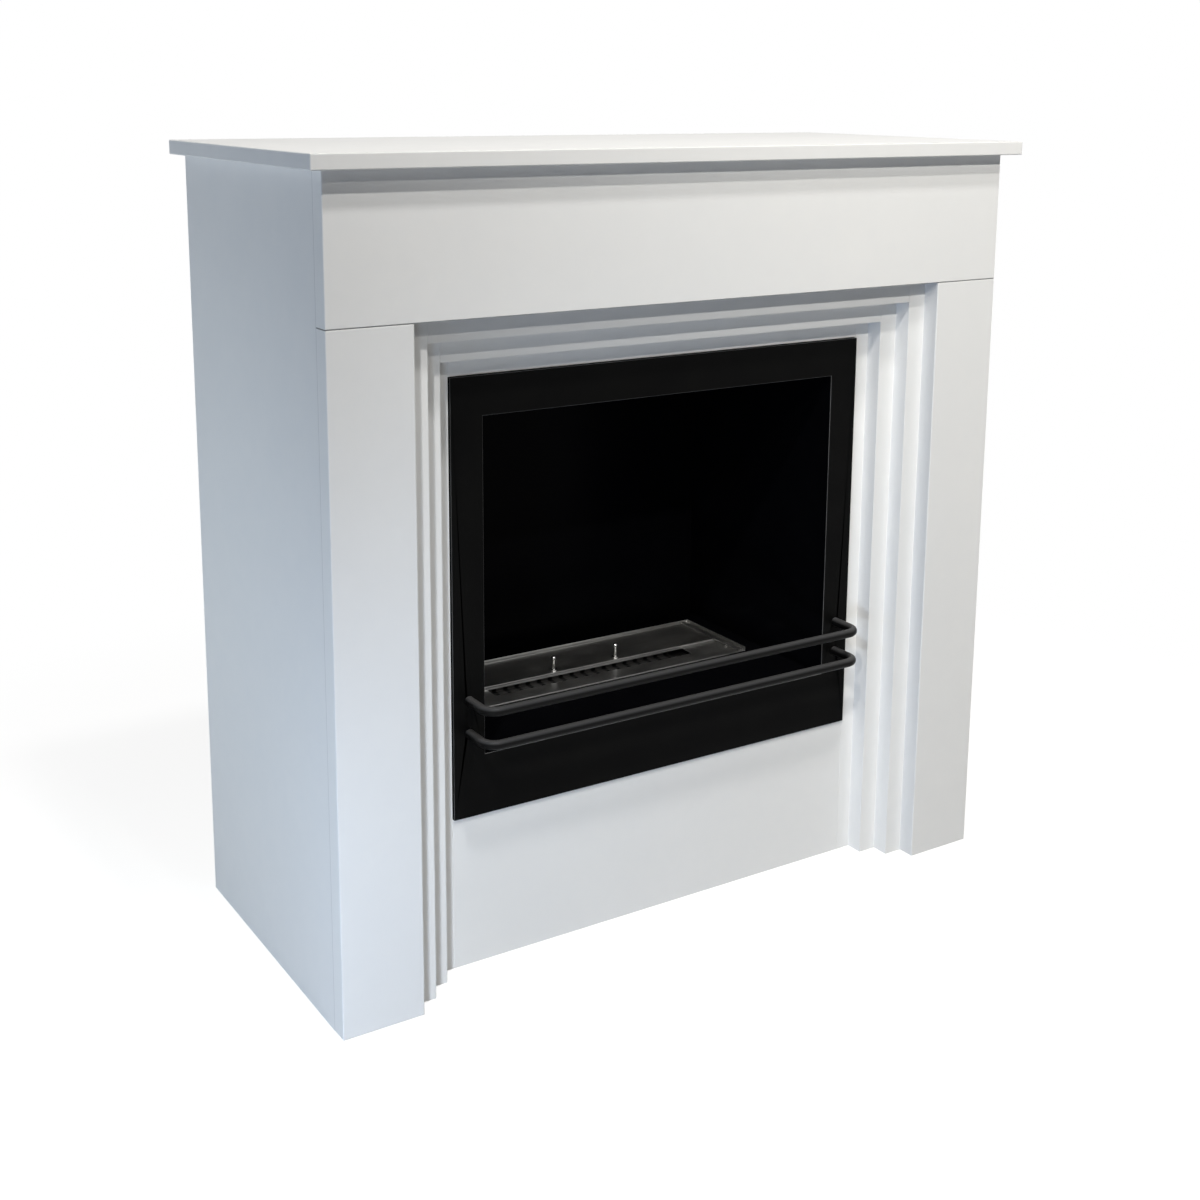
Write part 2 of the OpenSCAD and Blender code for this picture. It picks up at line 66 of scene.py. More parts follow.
class Tree:
    """A shader node tree that is written from its inputs to its output."""

    def __init__(self, tree):
        self.tree = tree
        tree.nodes.clear()

    def add(self, kind, values=None, **settings):
        """Adds a node; values feed its inputs, and settings are its own choices."""
        made = self.tree.nodes.new("ShaderNode" + kind)
        for name, value in settings.items():
            setattr(made, name, value)
        for name, value in (values or {}).items():
            self.feed(made.inputs[name], value)
        return made

    def feed(self, socket, value):
        """Links an output to the socket, or sets a number, a vector or a colour on it."""
        if isinstance(value, bpy.types.NodeSocket):
            self.tree.links.new(value, socket)
        elif socket.type == "RGBA":
            socket.default_value = (*value, 1.0)
        else:
            socket.default_value = value

    def math(self, operation, *values):
        made = self.add("Math", operation=operation)
        for socket, value in zip(made.inputs, values):
            self.feed(socket, value)
        return made.outputs[0]

    def plus(self, a, b):
        return self.math("ADD", a, b)

    def times(self, a, b):
        return self.math("MULTIPLY", a, b)

    def size(self, value):
        """A number without its sign."""
        return self.math("ABSOLUTE", value)

    def off(self, value, level):
        """How far a value lies from a level, on either side."""
        return self.size(self.math("SUBTRACT", value, level))

    def above(self, value, limit):
        """1 where the value is above the limit, and 0 elsewhere."""
        return self.math("GREATER_THAN", value, limit)

    def below(self, value, limit):
        """1 where the value is below the limit, and 0 elsewhere."""
        return self.math("LESS_THAN", value, limit)

    def both(self, first, *others):
        """The product of masks: 1 where all of them are 1."""
        for other in others:
            first = self.times(first, other)
        return first

    def either(self, first, *others):
        """The largest of several masks or numbers."""
        for other in others:
            first = self.math("MAXIMUM", first, other)
        return first

    def ramp(self, value, low, high, start=0.0, end=1.0, **settings):
        """A number that goes from start to end while the value goes from low to high."""
        made = self.add("MapRange", {"Value": value, "From Min": low, "From Max": high,
                                     "To Min": start, "To Max": end}, **settings)
        return made.outputs["Result"]

    def mix(self, share, a, b):
        """A colour between a and b; share is how much of b it takes."""
        made = self.add("Mix", data_type="RGBA")
        # The node has sockets for each kind of data, and these are the ones for colours
        for index, value in ((0, share), (6, a), (7, b)):
            self.feed(made.inputs[index], value)
        return made.outputs[2]

    def coords(self):
        """The places on the object."""
        return self.add("TexCoord").outputs["Object"]

    def parts(self, vector):
        """The three parts of a vector, by the names X, Y and Z."""
        return self.add("SeparateXYZ", {"Vector": vector}).outputs

    def normal(self):
        """The three parts of the direction in which a face looks."""
        return self.parts(self.add("TexCoord").outputs["Normal"])

    def noise(self, coords, scale, detail=2.0, roughness=0.5):
        """Soft random spots from 0 to 1; scale is how many of them go to a metre."""
        made = self.add("TexNoise", {"Vector": coords, "Scale": scale, "Detail": detail,
                                     "Roughness": roughness})
        return made.outputs["Fac"]

    def stretch(self, coords, scale):
        """Coordinates that draw a texture out along each axis whose scale is below 1."""
        return self.add("Mapping", {"Vector": coords, "Scale": scale}).outputs["Vector"]

    def bump(self, height, strength, distance):
        made = self.add("Bump", {"Height": height, "Strength": strength, "Distance": distance})
        return made.outputs["Normal"]

    def seen(self):
        """1 for the rays that show a thing to the eye: straight, in gloss or through glass."""
        rays = self.add("LightPath").outputs
        return self.either(rays["Is Camera Ray"], rays["Is Glossy Ray"], rays["Is Transmission Ray"])


def new_material(name, view_color):
    """A material and its tree; view_color is what a plain view shows."""
    material = bpy.data.materials.new(name)
    material.use_nodes = True
    material.diffuse_color = (*view_color, 1.0)
    return material, Tree(material.node_tree)


def surface(tree, **values):
    """The principled shader and the output; a name's underscores stand for spaces."""
    inputs = {name.replace("_", " "): value for name, value in values.items()}
    shader = tree.add("BsdfPrincipled", inputs)
    tree.add("OutputMaterial", {"Surface": shader.outputs["BSDF"]})


# Colours, as linear red, green and blue

WHITE = (1.0, 1.0, 1.0)

BOARD_BROWN = (0.50, 0.37, 0.24)
BOARD_TAN = (0.57, 0.43, 0.285)
BOARD_FIBRE = (0.66, 0.53, 0.37)
BOARD_FLECK = (0.30, 0.20, 0.12)

LACQUER_COOL = (0.835, 0.838, 0.832)
LACQUER_WARM = (0.862, 0.862, 0.852)
LACQUER_CLOUD = (0.822, 0.828, 0.828)
LACQUER_MIST = (0.80, 0.79, 0.76)
PAINTED_JOINT_SHADE = (0.20, 0.205, 0.21)

PAINT_DARK = (0.0014, 0.0015, 0.0021)
PAINT_LIGHT = (0.0022, 0.0023, 0.0030)
PAINT_OUTSIDE_DARK = (0.016, 0.016, 0.017)
PAINT_OUTSIDE_LIGHT = (0.022, 0.022, 0.023)

HEATED_DARK = (0.060, 0.058, 0.054)
HEATED_LIGHT = (0.095, 0.093, 0.090)
HEATED_AND_SHADED_SIDE = (0.050, 0.049, 0.047)
SOOT_AND_SHADE = (0.003, 0.003, 0.003)

ZINC_DARK = (0.46, 0.47, 0.49)
ZINC_LIGHT = (0.62, 0.63, 0.64)
ZINC_YELLOW = (0.60, 0.57, 0.47)

FIBRE_SHADE = (0.70, 0.67, 0.59)
FIBRE_LIGHT = (0.90, 0.885, 0.84)
FIBRE_KNOT = (0.62, 0.57, 0.47)


def toned(level, red, green, blue):
    """A colour whose parts are shares of one level."""
    return (level * red, level * green, level * blue)


# Materials

FACING = 0.5  # a face looks along an axis where more than this share of its normal does
NEAR = 0.5 * MM  # a point this near to a plane counts as on it
MARGIN = 2 * MM  # reaches past a board's face, and stays within the board

# Stretches that turn noise into brush lines along X, Y and Z
ALONG_X = (0.02, 1.0, 1.0)
ALONG_Y = (1.0, 0.02, 1.0)
ALONG_Z = (1.0, 1.0, 0.05)

# Distances from the middle of an open joint between which its line of painted shade fades out
FRIEZE_JOINT = (0.55 * MM, 0.90 * MM)
SIDE_JOINT = (0.45 * MM, 0.75 * MM)

# Soot and painted shade on the strip: how they fade beside each hole, where they start in front of
# the holes, and where they cover the right end
HOLE_PITCH = 18 * MM
SOOT_AND_SHADE_FADE = (2.4 * MM, 4.2 * MM)
SOOT_AND_SHADE_FRONT = (strip_low.y + strip_high.y) / 2 - 4 * MM
SOOT_AND_SHADE_END = (136 * MM, 142 * MM)


def board_colors(tree, coords):
    """Bare fibreboard: pressed fibres at three sizes."""
    broad = tree.noise(coords, scale=9.0, detail=3.0)
    fibre = tree.noise(tree.stretch(coords, (1.0, 1.0, 1.6)), scale=420.0, detail=4.0, roughness=0.65)
    fleck = tree.noise(coords, scale=1500.0, detail=1.0)
    tone = tree.mix(tree.ramp(broad, 0.35, 0.65), BOARD_BROWN, BOARD_TAN)
    tone = tree.mix(tree.ramp(fibre, 0.42, 0.62, end=0.55), tone, BOARD_FIBRE)
    tone = tree.mix(tree.ramp(fleck, 0.62, 0.70, end=0.5), tone, BOARD_FLECK)
    return tone, fibre


def raw_board():
    """Fibreboard as it is sawn."""
    material, tree = new_material("bare_fibreboard", (0.60, 0.47, 0.32))
    color, fibre = board_colors(tree, tree.coords())
    surface(tree, Base_Color=color, Specular_IOR_Level=0.25,
            Roughness=tree.ramp(fibre, 0.3, 0.7, start=0.72, end=0.88),
            Normal=tree.bump(fibre, strength=0.25, distance=0.3 * MM))
    return material


def outward(tree, place, normal):
    """How much a face looks away from the middle plane, from -1 to 1."""
    return tree.times(normal["X"], tree.math("SIGN", place["X"]))


def inner_faces(tree, place, normal):
    """1 on the faces of the white boards that look into the carcass or onto the floor."""
    off_middle = tree.size(place["X"])
    back_of_front = tree.both(tree.above(normal["Y"], FACING),
                              tree.below(place["Y"], infill_high.y + MARGIN))
    side = tree.both(tree.below(outward(tree, place, normal), -FACING),
                     tree.above(off_middle, panel_low.x - NEAR))
    under_shelf = tree.both(tree.below(off_middle, panel_low.x),
                            tree.above(place["Y"], panel_low.y),
                            tree.above(place["Z"], shelf_low.z - MARGIN))
    on_floor = tree.below(place["Z"], NEAR)
    underside = tree.both(tree.below(normal["Z"], -FACING), tree.either(under_shelf, on_floor))
    return tree.either(back_of_front, side, underside)


def painted_joint_shade(tree, place):
    """How strong the painted joint shade is: under the frieze, and between front and sides."""
    under_frieze = tree.ramp(tree.off(place["Z"], frieze_low.z), *FRIEZE_JOINT, start=0.85, end=0.0)
    behind_front = tree.ramp(tree.off(place["Y"], panel_low.y), *SIDE_JOINT, start=0.30, end=0.0)
    level = tree.both(tree.below(place["Y"], panel_low.y), under_frieze)
    upright = tree.both(tree.above(tree.size(place["X"]), panel_high.x - MARGIN),
                        tree.below(place["Z"], shelf_low.z), behind_front)
    return tree.either(level, upright)


def white_lacquer():
    """Satin lacquer with a fine orange peel; the inner faces show the board through a mist."""
    material, tree = new_material("white_lacquer", (0.86, 0.86, 0.85))
    coords = tree.coords()
    place = tree.parts(coords)
    broad = tree.noise(coords, scale=3.5, detail=3.0)
    cloud = tree.noise(coords, scale=45.0, detail=4.0)
    peel = tree.noise(coords, scale=520.0)
    grain = tree.noise(coords, scale=2600.0, detail=1.0)
    white = tree.mix(tree.ramp(broad, 0.3, 0.7), LACQUER_COOL, LACQUER_WARM)
    white = tree.mix(tree.ramp(cloud, 0.35, 0.75, end=0.35), white, LACQUER_CLOUD)
    # Painted shade along the fine open joints
    white = tree.mix(painted_joint_shade(tree, place), white, PAINTED_JOINT_SHADE)
    board, fibre = board_colors(tree, coords)
    patches = tree.plus(tree.times(cloud, 0.6), tree.times(fibre, 0.4))
    misted = tree.mix(tree.ramp(patches, 0.42, 0.66, start=0.10, end=0.50), board, LACQUER_MIST)
    inner = inner_faces(tree, place, tree.normal())
    finish = tree.ramp(cloud, 0.3, 0.7, start=0.34, end=0.42)
    height = tree.plus(peel, tree.times(grain, 0.35))
    surface(tree, Base_Color=tree.mix(inner, white, misted), Specular_IOR_Level=0.45,
            Roughness=tree.plus(finish, tree.times(inner, 0.4)),
            Normal=tree.bump(height, strength=0.10, distance=0.12 * MM))
    return material


def bent_edges(tree):
    """1 on the rounded edges of a folded sheet, where no axis lies along the normal."""
    normal = tree.normal()
    most = tree.either(tree.size(normal["X"]), tree.size(normal["Y"]), tree.size(normal["Z"]))
    return tree.ramp(most, 0.90, 0.97, start=1.0, end=0.0)


def powder_coat(name, dark, light, finish, gloss, edge_highlight=0.0, top_highlight=0.0):
    """Satin black powder coat with its fine, even grain; edge_highlight is how bright the painted
    highlight on its bent edges is, and top_highlight how pale the painted highlight on its upper side
    is."""
    material, tree = new_material(name, (0.02, 0.02, 0.021))
    coords = tree.coords()
    grain = tree.noise(coords, scale=1700.0, roughness=0.6)
    peel = tree.noise(coords, scale=330.0)
    broad = tree.noise(coords, scale=14.0, detail=3.0)
    cool_dark = toned(dark, 1.0, 1.0, 1.04)
    warm_light = toned(light, 1.0, 1.0, 0.95)
    color = tree.mix(tree.ramp(broad, 0.3, 0.7), cool_dark, warm_light)
    color = tree.mix(tree.ramp(grain, 0.56, 0.70, end=0.30), color, toned(light, 2.5, 2.5, 2.5))
    # Painted highlight along the bent edges, mottled by the broad noise
    if edge_highlight:
        painted_edge_highlight = tree.times(bent_edges(tree), tree.ramp(broad, 0.35, 0.65, start=0.55))
        color = tree.mix(painted_edge_highlight, color, toned(edge_highlight, 1.0, 1.0, 1.0))
    # Painted highlight on the upper side, paler the more the face looks up
    if top_highlight:
        upward = tree.ramp(tree.normal()["Z"], 0.30, 0.90)
        color = tree.mix(upward, color, toned(top_highlight, 1.0, 1.0, 1.02))
    height = tree.plus(tree.times(peel, 0.6), tree.times(grain, 0.4))
    surface(tree, Base_Color=color, Specular_IOR_Level=gloss,
            Roughness=tree.ramp(broad, 0.3, 0.7, start=finish, end=finish + 0.08),
            Normal=tree.bump(height, strength=0.22, distance=0.12 * MM))
    return material


def outer_faces(tree, place, normal):
    """1 on the faces of the firebox that look away from the fire."""
    sideways = tree.above(outward(tree, place, normal), FACING)
    backward = tree.above(normal["Y"], FACING)
    upward = tree.both(tree.above(normal["Z"], FACING), tree.above(place["Z"], roof_low.z))
    return tree.either(sideways, backward, upward)


def stove_paint():
    """Heat-proof black of the firebox: deep inside, and on its outer faces a little paler as painted
    light.
    """
    material, tree = new_material("black_stove_paint", (0.01, 0.01, 0.011))
    coords = tree.coords()
    streak = tree.noise(tree.stretch(coords, (1.0, 1.0, 0.12)), scale=60.0, detail=3.0)
    cloud = tree.noise(coords, scale=11.0, detail=4.0)
    grain = tree.noise(coords, scale=1400.0, detail=1.0)
    inside = tree.mix(tree.ramp(cloud, 0.3, 0.7), PAINT_DARK, PAINT_LIGHT)
    # Painted light: the outer faces are a little paler than the inside
    painted_light_outside = tree.mix(cloud, PAINT_OUTSIDE_DARK, PAINT_OUTSIDE_LIGHT)
    outer = outer_faces(tree, tree.parts(coords), tree.normal())
    surface(tree, Base_Color=tree.mix(outer, inside, painted_light_outside), Specular_IOR_Level=0.015,
            Roughness=tree.ramp(streak, 0.3, 0.7, start=0.255, end=0.270),
            Normal=tree.bump(grain, strength=0.08, distance=0.1 * MM))
    return material


def brush_lines(tree, coords, along):
    return tree.noise(tree.stretch(coords, along), scale=900.0, detail=3.0, roughness=0.7)


def brushed_steel(name, along, tone, rough):
    """Brushed stainless steel; along is the stretch for its brush lines."""
    material, tree = new_material(name, (tone, tone, tone))
    coords = tree.coords()
    lines = brush_lines(tree, coords, along)
    scratch = tree.noise(tree.stretch(coords, along), scale=3400.0, detail=1.0)
    cloud = tree.noise(coords, scale=26.0, detail=4.0)
    dark = toned(tone, 0.80, 0.79, 0.77)
    bright = toned(tone, 1.0, 1.0, 0.985)
    dull = toned(tone, 0.72, 0.70, 0.66)
    color = tree.mix(tree.ramp(lines, 0.35, 0.65), dark, bright)
    color = tree.mix(tree.ramp(cloud, 0.45, 0.75, end=0.30), color, dull)
    line_finish = tree.ramp(lines, 0.3, 0.7, start=rough - 0.05, end=rough + 0.05)
    height = tree.plus(tree.times(lines, 0.7), tree.times(scratch, 0.3))
    surface(tree, Base_Color=color, Metallic=1.0,
            Roughness=tree.plus(line_finish, tree.ramp(cloud, 0.4, 0.8, end=0.10)),
            Normal=tree.bump(height, strength=0.12, distance=0.05 * MM))
    return material


def soot_and_painted_shade(tree, place):
    """1 where sooty marks and painted shade reach back from each hole and fill the slot's right end."""
    across = tree.math("FRACT", tree.math("DIVIDE", place["X"], HOLE_PITCH))
    off_hole = tree.times(tree.off(across, 0.5), HOLE_PITCH)
    soot_and_shade_lick = tree.both(tree.ramp(off_hole, *SOOT_AND_SHADE_FADE, start=1.0, end=0.0),
                     tree.above(place["Y"], SOOT_AND_SHADE_FRONT))
    return tree.either(soot_and_shade_lick, tree.ramp(place["X"], *SOOT_AND_SHADE_END))


def heated_steel():
    """Flame-browned steel in the slot; sooty marks and painted shade on its walls and behind its holes.
    """
    material, tree = new_material("heated_steel", (0.10, 0.10, 0.10))
    coords = tree.coords()
    cloud = tree.noise(coords, scale=55.0, detail=4.0)
    upright = tree.ramp(tree.size(tree.normal()["Z"]), 0.3, 0.8, start=1.0, end=0.0)
    color = tree.mix(tree.ramp(cloud, 0.35, 0.65), HEATED_DARK, HEATED_LIGHT)
    # Upright walls darker: sooty marks and painted shade
    color = tree.mix(upright, color, HEATED_AND_SHADED_SIDE)
    # Soot and painted shade behind the holes and at the right end
    color = tree.mix(soot_and_painted_shade(tree, tree.parts(coords)), color, SOOT_AND_SHADE)
    surface(tree, Base_Color=color, Metallic=1.0,
            Roughness=tree.ramp(cloud, 0.3, 0.7, start=0.38, end=0.48),
            Normal=tree.bump(brush_lines(tree, coords, ALONG_X), strength=0.10, distance=0.05 * MM))
    return material


def zinc_plate():
    """Zinc plating: small crystals and a faint yellow cast."""
    material, tree = new_material("zinc_plate", (0.60, 0.60, 0.61))
    coords = tree.coords()
    cells = tree.add("TexVoronoi", {"Vector": coords, "Scale": 260.0})
    crystal = tree.add("SeparateColor", {"Color": cells.outputs["Color"]}).outputs["Red"]
    cloud = tree.noise(coords, scale=60.0, detail=3.0)
    color = tree.mix(crystal, ZINC_DARK, ZINC_LIGHT)
    color = tree.mix(tree.ramp(cloud, 0.4, 0.7, end=0.4), color, ZINC_YELLOW)
    surface(tree, Base_Color=color, Metallic=1.0,
            Roughness=tree.ramp(crystal, 0.0, 1.0, start=0.28, end=0.46),
            Normal=tree.bump(cloud, strength=0.1, distance=0.1 * MM))
    return material


def ceramic_wool():
    """White mineral fibres, matted together."""
    material, tree = new_material("ceramic_wool", (0.84, 0.82, 0.76))
    coords = tree.coords()
    strands = tree.noise(tree.stretch(coords, (1.0, 1.0, 6.0)), scale=700.0, detail=5.0, roughness=0.75)
    knots = tree.noise(coords, scale=90.0, detail=4.0)
    color = tree.mix(tree.ramp(strands, 0.35, 0.65), FIBRE_SHADE, FIBRE_LIGHT)
    color = tree.mix(tree.ramp(knots, 0.55, 0.75, end=0.4), color, FIBRE_KNOT)
    surface(tree, Base_Color=color, Roughness=0.95, Sheen_Weight=0.3,
            Normal=tree.bump(strands, strength=0.7, distance=0.6 * MM))
    return material


LACQUER = white_lacquer()
BOARD = raw_board()
COAT = powder_coat("black_powder_coat", dark=0.0026, light=0.0040,
                   finish=0.36, gloss=0.03, edge_highlight=0.14)
BAR_COAT = powder_coat("bar_powder_coat", dark=0.0040, light=0.0060,
                       finish=0.30, gloss=0.07, top_highlight=0.062)
PAINT = stove_paint()
STEEL = brushed_steel("brushed_steel", ALONG_X, tone=0.62, rough=0.34)
STEEL_SIDE = brushed_steel("brushed_steel_side", ALONG_Y, tone=0.62, rough=0.34)
HEATED = heated_steel()
STEEL_BRIGHT = brushed_steel("turned_steel", ALONG_Z, tone=0.78, rough=0.20)
ZINC = zinc_plate()
WOOL = ceramic_wool()

SLOT_MATERIALS = {"white_lacquer": LACQUER, "raw_board": BOARD, "black_steel": COAT,
                  "burner_steel": STEEL, "zinc": ZINC, "wool": WOOL}
# Nodes whose finish differs from the rest of their slot
OWN_MATERIALS = {
    "firebox_left_wall": PAINT, "firebox_right_wall": PAINT, "firebox_back_wall": PAINT,
    "firebox_roof": PAINT, "firebox_base": PAINT, "firebox_floor": PAINT,
    "upper_guard_bar": BAR_COAT, "lower_guard_bar": BAR_COAT,
    "lid_guide_left": STEEL_SIDE, "lid_guide_right": STEEL_SIDE,
    "lid_knobs": STEEL_BRIGHT, "perforated_strip": HEATED,
}

for subpart in frame["record"]["subparts"]:
    usual = SLOT_MATERIALS[subpart["material_slot"]]
    for slot in nodes[subpart["node"]].material_slots:
        slot.material = OWN_MATERIALS.get(subpart["node"], usual)


# Folded and cut edges of the sheet metal

EDGE_RADII = {
    "insert_frame": 0.95 * MM, "burner_top_plate": 0.4 * MM, "snuffer_lid": 0.5 * MM,
    "lid_guide_left": 0.4 * MM, "lid_guide_right": 0.4 * MM, "burner_tank": 0.6 * MM,
    "perforated_strip": 0.4 * MM, "firebox_rivets": 0.3 * MM, "rail_brackets": 0.4 * MM,
    "insert_brackets": 0.4 * MM,
}
EDGE_SEGMENTS = 3
SHARP_EDGE = math.radians(50)


def plain_shading():
    """A modifier group that joins the corners of a mesh and shades its faces flat."""
    group = bpy.data.node_groups.new("plain_shading", "GeometryNodeTree")
    group.interface.new_socket("Geometry", in_out="INPUT", socket_type="NodeSocketGeometry")
    group.interface.new_socket("Geometry", in_out="OUTPUT", socket_type="NodeSocketGeometry")
    entry = group.nodes.new("NodeGroupInput")
    bare = group.nodes.new("GeometryNodeRemoveAttribute")
    bare.inputs["Name"].default_value = "custom_normal"
    joined = group.nodes.new("GeometryNodeMergeByDistance")
    joined.inputs["Distance"].default_value = SAME_PLACE
    flat = group.nodes.new("GeometryNodeSetShadeSmooth")
    flat.inputs["Shade Smooth"].default_value = False
    way_out = group.nodes.new("NodeGroupOutput")
    chain = (entry, bare, joined, flat, way_out)
    for before, after in zip(chain, chain[1:]):
        group.links.new(before.outputs["Geometry"], after.inputs["Geometry"])
    return group


PLAIN = plain_shading()


def soften(node, radius):
    """Rounds a node's sharp edges by a small radius."""
    piece = nodes[node]
    plain = piece.modifiers.new("plain", "NODES")
    plain.node_group = PLAIN
    bevel = piece.modifiers.new("edges", "BEVEL")
    bevel.width = radius
    bevel.segments = EDGE_SEGMENTS
    bevel.limit_method = "ANGLE"
    bevel.angle_limit = SHARP_EDGE


for softened, edge_radius in EDGE_RADII.items():
    soften(softened, edge_radius)


# Screws and bolts

AXES = (Vector((1, 0, 0)), Vector((0, 1, 0)), Vector((0, 0, 1)))
FULL_TURN = 2 * math.pi
BOLT_SIDES = 24
RIM = 0.05 * MM  # corners this near to the head's radius are on its rim
BELOW_SEAT = 1.0 * MM  # corners this far below the seat are the shank's
THREAD_STEPS = 4  # rings to each turn of a thread
ANGLE_SLACK = 1e-6
SMOOTH_BELOW = math.radians(40)

# The outside of a pan head, as shares of its radius and its height
PAN_HEAD = ((0.66, 0.97), (0.80, 0.88), (0.92, 0.66), (0.985, 0.34), (1.0, 0.12), (0.985, 0.0))


def solids(node):
    """The separate solids of a node, each as the list of its corners."""
    mesh = bmesh.new()
    mesh.from_mesh(nodes[node].data)
    bmesh.ops.remove_doubles(mesh, verts=mesh.verts, dist=SAME_PLACE)
    met = set()
    found = []
    for first in mesh.verts:
        if first.index in met:
            continue
        met.add(first.index)
        waiting = [first]
        corners = []
        while waiting:
            vert = waiting.pop()
            corners.append(vert.co.copy())
            for edge in vert.link_edges:
                other = edge.other_vert(vert)
                if other.index not in met:
                    met.add(other.index)
                    waiting.append(other)
        found.append(corners)
    mesh.free()
    return found


class Pin:
    """Where a headed pin lies, and its measures, taken from the corners of its solid."""

    def __init__(self, corners):
        low = Vector([min(corner[axis] for corner in corners) for axis in range(3)])
        high = Vector([max(corner[axis] for corner in corners) for axis in range(3)])
        middle = (low + high) / 2
        spans = high - low
        longest = max(range(3), key=lambda axis: spans[axis])
        half_length = spans[longest] / 2
        way = AXES[longest]

        def along(corner):
            return (corner - middle).dot(way)

        def reach(corner):
            return (corner - middle - way * along(corner)).length

        self.head_radius = max(reach(corner) for corner in corners)
        rim = [corner for corner in corners if reach(corner) > self.head_radius - RIM]
        side = 1.0 if sum(along(corner) for corner in rim) > 0 else -1.0
        seat = min(side * along(corner) for corner in rim)
        shank = [corner for corner in corners if side * along(corner) < seat - BELOW_SEAT]
        self.radius = max(reach(corner) for corner in shank)
        self.head_height = half_length - seat
        self.length = half_length + seat
        self.out = way * side
        self.seat = middle + self.out * seat

    def matrix(self):
        """Puts a form whose head points up Z, with its seat at zero, where the pin is."""
        turn = self.out.to_track_quat("Z", "Y").to_matrix().to_4x4()
        return Matrix.Translation(self.seat) @ turn


def even_angles():
    return [FULL_TURN * step / BOLT_SIDES for step in range(BOLT_SIDES)]


def cross_angles(corner):
    """Angles that meet the corners of a cross recess; corner is the half angle of an arm's end."""
    diagonal = FULL_TURN / 8
    first_half = [0.0, corner, (corner + diagonal) / 2]
    second_half = [2 * diagonal - angle for angle in reversed(first_half[1:])]
    one_arm = first_half + [diagonal] + second_half
    return [angle + 2 * diagonal * turn for turn in range(4) for angle in one_arm]


def round_ring(radius, height):
    return lambda angle: (radius, height)


def hex_reach(apothem, angle):
    side = FULL_TURN / 6
    return apothem / math.cos((angle + side / 2) % side - side / 2)


def hex_ring(apothem, height, chamfer=0.0):
    """A hexagon; chamfer is how steeply its corners drop."""
    def ring(angle):
        reach = hex_reach(apothem, angle)
        return reach, height - chamfer * (reach - apothem)
    return ring


def cross_ring(reach, width, height):
    """The outline of a cross with arms of this reach and half width."""
    def ring(angle):
        turned = angle % (FULL_TURN / 4)
        turned = min(turned, FULL_TURN / 4 - turned)
        if turned <= math.atan2(width, reach) + ANGLE_SLACK:
            return reach / math.cos(turned), height
        return width / math.sin(turned), height
    return ring


def thread_rings(radius, pitch, depth, start, end):
    """Rings down a shank whose radius follows a V thread, which fades over half a turn."""
    count = max(1, round(THREAD_STEPS * (start - end) / pitch))
    fading = THREAD_STEPS / 2
    rings = []
    for step in range(count + 1):
        height = start + (end - start) * step / count
        fade = min(1.0, step / fading, (count - step) / fading)

        def ring(angle, height=height, fade=fade):
            turn = (height / pitch + angle / FULL_TURN) % 1.0
            return radius - depth * fade * abs(2.0 * turn - 1.0), height

        rings.append(ring)
    return rings


def add_turned(mesh, matrix, rings, angles):
    """Adds a closed form to the mesh: the rings from its top to its tip, with a point at each end."""
    loops = []
    for ring in rings:
        loop = []
        for angle in angles:
            radius, height = ring(angle)
            place = Vector((radius * math.cos(angle), radius * math.sin(angle), height))
            loop.append(mesh.verts.new(matrix @ place))
        loops.append(loop)
    count = len(angles)
    for upper, lower in zip(loops, loops[1:]):
        for step in range(count):
            after = (step + 1) % count
            mesh.faces.new((upper[step], lower[step], lower[after], upper[after]))
    for ring, loop, turn in ((rings[0], loops[0], 1), (rings[-1], loops[-1], -1)):
        heights = [ring(angle)[1] for angle in angles]
        hub = mesh.verts.new(matrix @ Vector((0, 0, sum(heights) / count)))
        for step in range(count):
            after = (step + 1) % count
            mesh.faces.new((hub, loop[step], loop[after])[::turn])


def pan_head_screw(mesh, pin):
    """A pan head with a cross recess on a wood screw with a sharp point."""
    head, top, shank = pin.head_radius, pin.head_height, pin.radius
    reach, width = 0.55 * head, 0.15 * head
    tip = -pin.length + 1.6 * shank
    thread_start = max(-0.35 * pin.length, -3.0 * shank)
    rings = [cross_ring(0.62 * reach, 0.7 * width, 0.35 * top),
             cross_ring(reach, width, 0.98 * top)]
    rings += [round_ring(across * head, up * top) for across, up in PAN_HEAD]
    rings += [round_ring(shank, 0.0)]
    rings += thread_rings(shank, pitch=shank, depth=0.28 * shank, start=thread_start, end=tip)
    rings += [round_ring(0.5 * shank, (tip - pin.length) / 2), round_ring(0.06 * shank, -pin.length)]
    add_turned(mesh, pin.matrix(), rings, cross_angles(math.atan2(width, reach)))


def hex_bolt(mesh, pin):
    """A hexagon head with chamfered corners and a washer face on a machine bolt."""
    top, shank = pin.head_height, pin.radius
    apothem = pin.head_radius * math.cos(FULL_TURN / 12)
    washer = 0.10 * top
    tip = -pin.length + 0.25 * shank
    rings = [round_ring(0.93 * apothem, top),
             hex_ring(apothem, top - 0.03 * top, chamfer=0.55),
             hex_ring(apothem, washer),
             round_ring(0.95 * apothem, washer),
             round_ring(0.95 * apothem, 0.0),
             round_ring(shank, 0.0)]
    rings += thread_rings(shank, pitch=shank / 3, depth=0.18 * shank, start=-0.5 * shank, end=tip)
    rings += [round_ring(0.80 * shank, -pin.length)]
    add_turned(mesh, pin.matrix(), rings, even_angles())


